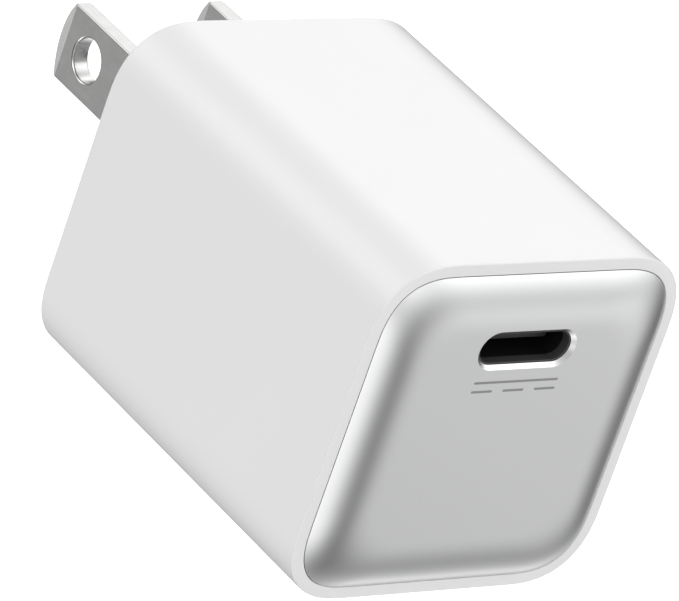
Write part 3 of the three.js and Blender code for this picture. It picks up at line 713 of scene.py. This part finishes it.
def moulded(name, colour, roughness, grain=0.6 * MM, depth=0.0004 * MM, variation=0.02):
    """Moulded plastic: a hint of orange peel, faint cloudiness and slight handling marks."""
    made = Finish(name, roughness)
    cloud = made.spread(made.noise(9 * MM, detail=3), 0, 1)
    made.colour(cloud, tinted(colour, 1 - variation), tinted(colour, 1 + variation))
    handling = made.noise(2.5 * MM, detail=5, roughness=0.6)
    made.rough(handling, roughness * 0.96, roughness * 1.04)
    made.bump(made.noise(grain, detail=1), depth)
    return made.material


def satin_metal(name, colour, roughness):
    """Fine bead-blasted and anodised metal: a grain of tiny bright and dull spots."""
    made = Finish(name, roughness, metallic=1.0)
    grain = made.noise(0.075 * MM, detail=2, roughness=0.7)
    made.colour(made.spread(grain, 0, 1), tinted(colour, 0.99), tinted(colour, 1.01))
    made.rough(made.noise(0.16 * MM, detail=3), roughness * 0.97, roughness * 1.05)
    made.bump(grain, 0.0009 * MM)
    return made.material


def drawn_metal(name, colour, roughness, along=(1, 0.05, 1), depth=0.0008 * MM):
    """Rolled or drawn metal: streaks along one axis and a few faint rubs."""
    made = Finish(name, roughness, metallic=1.0)
    streaks = made.noise(0.12 * MM, detail=4, stretch=along)
    rubs = made.noise(1.6 * MM, detail=4, roughness=0.65)
    made.colour(made.spread(rubs, 0, 1), tinted(colour, 0.95), tinted(colour, 1.04))
    made.rough(streaks, roughness * 0.87, roughness * 1.2)
    made.bump(streaks, depth)
    return made.material


def speckled(name, colour, roughness, size=0.25 * MM, contrast=0.35):
    """Pressed or filled material: visible specks and a slightly uneven face."""
    made = Finish(name, roughness)
    specks = made.noise(size, detail=4, roughness=0.7)
    colours = tinted(colour, 1 - contrast), tinted(colour, 1 + contrast)
    made.colour(made.spread(specks, 0, 1), *colours)
    made.rough(specks, roughness * 0.85, roughness * 1.1)
    made.bump(specks, 0.004 * MM)
    return made.material


def wound(name, colour, roughness, metallic, pitch, direction="Z"):
    """Turns of wire or tape: ridges a pitch apart, with painted shade in the grooves between them."""
    made = Finish(name, roughness, metallic)
    wave = made.nodes.new("ShaderNodeTexWave")
    wave.bands_direction = direction
    wave.wave_profile = "SIN"
    wave.inputs["Scale"].default_value = 2 * math.pi / (WAVE_TURN * pitch)
    wave.inputs["Distortion"].default_value = 0.4
    made.links.new(made.place, wave.inputs["Vector"])
    ridges_and_groove_shade = wave.outputs["Fac"]
    # painted shade: the colour drops to 0.45 of itself in the grooves between the ridges
    made.colour(ridges_and_groove_shade, tinted(colour, 0.45), colour)
    made.bump(ridges_and_groove_shade, pitch / 6)
    return made.material


def solder_mask(name, colour):
    """A board's solder mask: raised tracks that turn at right angles under the green."""
    made = Finish(name, 0.4)
    brick = made.nodes.new("ShaderNodeTexBrick")
    brick.inputs["Scale"].default_value = 1 / (1.4 * MM)
    brick.inputs["Mortar Size"].default_value = 0.09
    brick.inputs["Mortar Smooth"].default_value = 0.2
    made.links.new(made.place, brick.inputs["Vector"])
    tracks = brick.outputs["Fac"]
    made.colour(tracks, colour, tinted(colour, 1.9))
    made.rough(made.noise(0.8 * MM), 0.32, 0.46)
    made.bump(tracks, 0.02 * MM)
    return made.material


def all_finishes():
    """Every finish by name: the record's material slots, and one more for the socket's collar."""
    return {
        "casing_white": moulded("casing_white", (0.86, 0.86, 0.86), 0.26, variation=0.006),
        "panel_satin": satin_metal("panel_satin", (0.73, 0.733, 0.736), 0.284),
        "prong_nickel": drawn_metal("prong_nickel", (0.55, 0.548, 0.543), 0.22),
        "grey_plastic": moulded("grey_plastic", (0.62, 0.62, 0.6), 0.45),
        "black_plastic": moulded("black_plastic", (0.022, 0.022, 0.024), 0.42, variation=0.1),
        "collar_grey": moulded("collar_grey", (0.052, 0.052, 0.054), 0.5, variation=0.06),
        "socket_dark": moulded("socket_dark", (0.008, 0.008, 0.009), 0.5, variation=0.1),
        "mark_grey": speckled("mark_grey", (0.27, 0.27, 0.275), 0.5, size=0.05 * MM, contrast=0.1),
        "steel_parts": drawn_metal("steel_parts", (0.5, 0.5, 0.51), 0.32, along=(0.05, 1, 1)),
        "spring_bronze": drawn_metal("spring_bronze", (0.66, 0.45, 0.2), 0.33, along=(1, 1, 0.05)),
        "circuit_board": solder_mask("circuit_board", (0.02, 0.13, 0.06)),
        "chip_black": speckled("chip_black", (0.02, 0.02, 0.021), 0.6, size=0.12 * MM),
        "ferrite_grey": speckled("ferrite_grey", (0.07, 0.07, 0.078), 0.7),
        "tape_yellow": wound("tape_yellow", (0.72, 0.52, 0.08), 0.4, 0.0, 0.9 * MM),
        "body_cream": speckled("body_cream", (0.78, 0.74, 0.62), 0.38, contrast=0.06),
        "can_aluminium": drawn_metal("can_aluminium", (0.72, 0.72, 0.73), 0.34, along=(1, 1, 0.05)),
        "can_sleeve": moulded("can_sleeve", (0.035, 0.045, 0.075), 0.35, variation=0.15),
        "disc_blue": speckled("disc_blue", (0.04, 0.13, 0.36), 0.4, contrast=0.12),
        "pad_grey": speckled("pad_grey", (0.28, 0.3, 0.32), 0.85, contrast=0.12),
        "film_amber": moulded("film_amber", (0.55, 0.27, 0.04), 0.3, variation=0.08),
        "copper_sheet": wound("copper_sheet", (0.68, 0.32, 0.16), 0.38, 1.0, 0.35 * MM, "Y"),
    }


# ---------------------------------------------------------------- stage, light and camera


def toward(azimuth, elevation):
    """The direction of a place round the object; azimuth 0 is in front of the socket."""
    a, e = math.radians(azimuth), math.radians(elevation)
    return Vector((math.sin(a) * math.cos(e), -math.cos(a) * math.cos(e), math.sin(e)))


# Soft lights round the object: azimuth, elevation, focus (higher is a smaller light) and strength.
# All but back_low come from a least-squares fit of the render's shading to the photograph's,
# rounded, with three of the strengths changed. back_low was chosen.
SOFT_LIGHTS = {
    "high_left": (-76, 30, 17, 3.85),
    "high_right": (62, 41, 5.5, 2.0),
    "high_back_left": (-144, 28, 13, 2.8),
    "back_right": (132, 32, 17, 1.95),
    "right_low": (113, -48, 25, 1.25),
    "back_left_low": (-136, -34, 14, 0.7),
    "high_front": (-2, 21, 11, 1.2),
    "front_right_low": (46, -16, 20, 1.0),
    "front_low": (-30, -23, 10.5, 1.55),
    "under_right": (73, -56, 11, 0.5),
    "under_left": (-77, -74, 17, 2.75),
    "back_low": (171, -24, 22, 1.35),
}


def soft_dome(lights):
    """A dark dome with a smooth round light at each place; the camera itself sees plain white."""
    world = bpy.data.worlds.new("soft_dome")
    world.use_nodes = True
    nodes, links = world.node_tree.nodes, world.node_tree.links
    nodes.clear()
    place = nodes.new("ShaderNodeTexCoord").outputs["Generated"]

    def maths(operation, a, b=0):
        step = nodes.new("ShaderNodeMath")
        step.operation = operation
        for socket, value in zip(step.inputs, (a, b)):
            if isinstance(value, (int, float)):
                socket.default_value = value
            else:
                links.new(value, socket)
        return step.outputs[0]

    total = 0.0
    for azimuth, elevation, focus, strength in lights.values():
        facing = nodes.new("ShaderNodeVectorMath")
        facing.operation = "DOT_PRODUCT"
        facing.inputs[1].default_value = toward(azimuth, elevation)
        links.new(place, facing.inputs[0])
        falling = maths("MULTIPLY", maths("SUBTRACT", facing.outputs["Value"], 1.0), focus)
        total = maths("ADD", maths("MULTIPLY", maths("EXPONENT", falling), strength), total)
    lamp = nodes.new("ShaderNodeBackground")
    links.new(total, lamp.inputs["Strength"])
    plain = nodes.new("ShaderNodeBackground")
    choice = nodes.new("ShaderNodeMixShader")
    links.new(nodes.new("ShaderNodeLightPath").outputs["Is Camera Ray"], choice.inputs[0])
    links.new(lamp.outputs[0], choice.inputs[1])
    links.new(plain.outputs[0], choice.inputs[2])
    plain.inputs["Color"].default_value = (1, 1, 1, 1)
    lamp.inputs["Color"].default_value = (1, 1, 1, 1)
    links.new(choice.outputs[0], nodes.new("ShaderNodeOutputWorld").inputs["Surface"])
    bpy.context.scene.world = world


def pale_floor():
    """A plain white floor, seen only from above, that neither lights nor shades the object."""
    radius, steps, glow = 2.0, 96, 0.7
    turns = [2 * math.pi * i / steps for i in range(steps)]
    rim = [(radius * math.cos(a), radius * math.sin(a), sleeve_low.z) for a in turns]
    mesh = bpy.data.meshes.new("floor")
    mesh.from_pydata(rim, [], [tuple(range(steps))])
    floor = link(bpy.data.objects.new("floor", mesh))
    made = Finish("floor_white", 0.9)
    made.colour(made.spread(made.noise(40 * MM), 0, 1), (0.9, 0.9, 0.9), (0.92, 0.92, 0.92))
    made.shader.inputs["Specular IOR Level"].default_value = 0.0
    made.shader.inputs["Emission Color"].default_value = (1, 1, 1, 1)
    made.shader.inputs["Emission Strength"].default_value = glow
    clear = made.nodes.new("ShaderNodeBsdfTransparent")
    choice = made.nodes.new("ShaderNodeMixShader")
    made.links.new(made.nodes.new("ShaderNodeNewGeometry").outputs["Backfacing"], choice.inputs[0])
    made.links.new(made.shader.outputs[0], choice.inputs[1])
    made.links.new(clear.outputs[0], choice.inputs[2])
    made.links.new(choice.outputs[0], made.nodes["Material Output"].inputs["Surface"])
    mesh.materials.append(made.material)
    floor.visible_diffuse = False
    floor.visible_glossy = False
    floor.visible_transmission = False
    floor.visible_shadow = False


def camera():
    """A long lens from the front left and above, tilted about its own axis."""
    # Solved, like the lens and the aim, from the outline and the edges in the photograph.
    azimuth, elevation, roll = -43.58, 25.46, 19.52
    distance = 545.1 * MM
    aim = Vector((2.15 * MM, -3.65 * MM, MID - 2.29 * MM))  # the middle of the picture
    data = bpy.data.cameras.new("camera")
    data.sensor_width = 36
    data.lens = 385.7
    data.clip_start = 0.01
    data.clip_end = 20
    eye = link(bpy.data.objects.new("camera", data))
    back = toward(azimuth, elevation)
    eye.location = aim + back * distance
    level = (-back).to_track_quat("-Z", "Y").to_matrix()
    eye.rotation_euler = (level @ Matrix.Rotation(math.radians(roll), 3, "Z")).to_euler()
    bpy.context.scene.camera = eye


# ---------------------------------------------------------------- assembly

finishes = all_finishes()

show(sleeve(), CASE, "casing_white", "outer_sleeve")
show(front_panel(), CASE, "panel_satin", "front_panel")
show(rear_cover(), CASE, "casing_white", "rear_cover")
show(prong(-1, "left_prong"), PRONGS, "prong_nickel", "left_blade")
show(prong(1, "right_prong"), PRONGS, "prong_nickel", "right_blade")
show(hinge_barrel(), PRONGS, "grey_plastic", "hinge_carrier")
show(socket_collar(), CASE, "collar_grey", slot="socket_dark")
show(socket_shell(), CASE, "socket_dark", "usb_shell")
show(socket_insulator(), CASE, "black_plastic", "usb_tongue")
show(socket_contacts(), CASE, "spring_bronze")
show(supply_mark(), CASE, "mark_grey")

for part in frame["record"]["subparts"]:
    kept = frame["nodes"][part["node"]]
    kept.data.materials.clear()
    kept.data.materials.append(finishes[part["material_slot"]])

soft_dome(SOFT_LIGHTS)
pale_floor()
camera()
bpy.context.scene.view_settings.view_transform = "Standard"
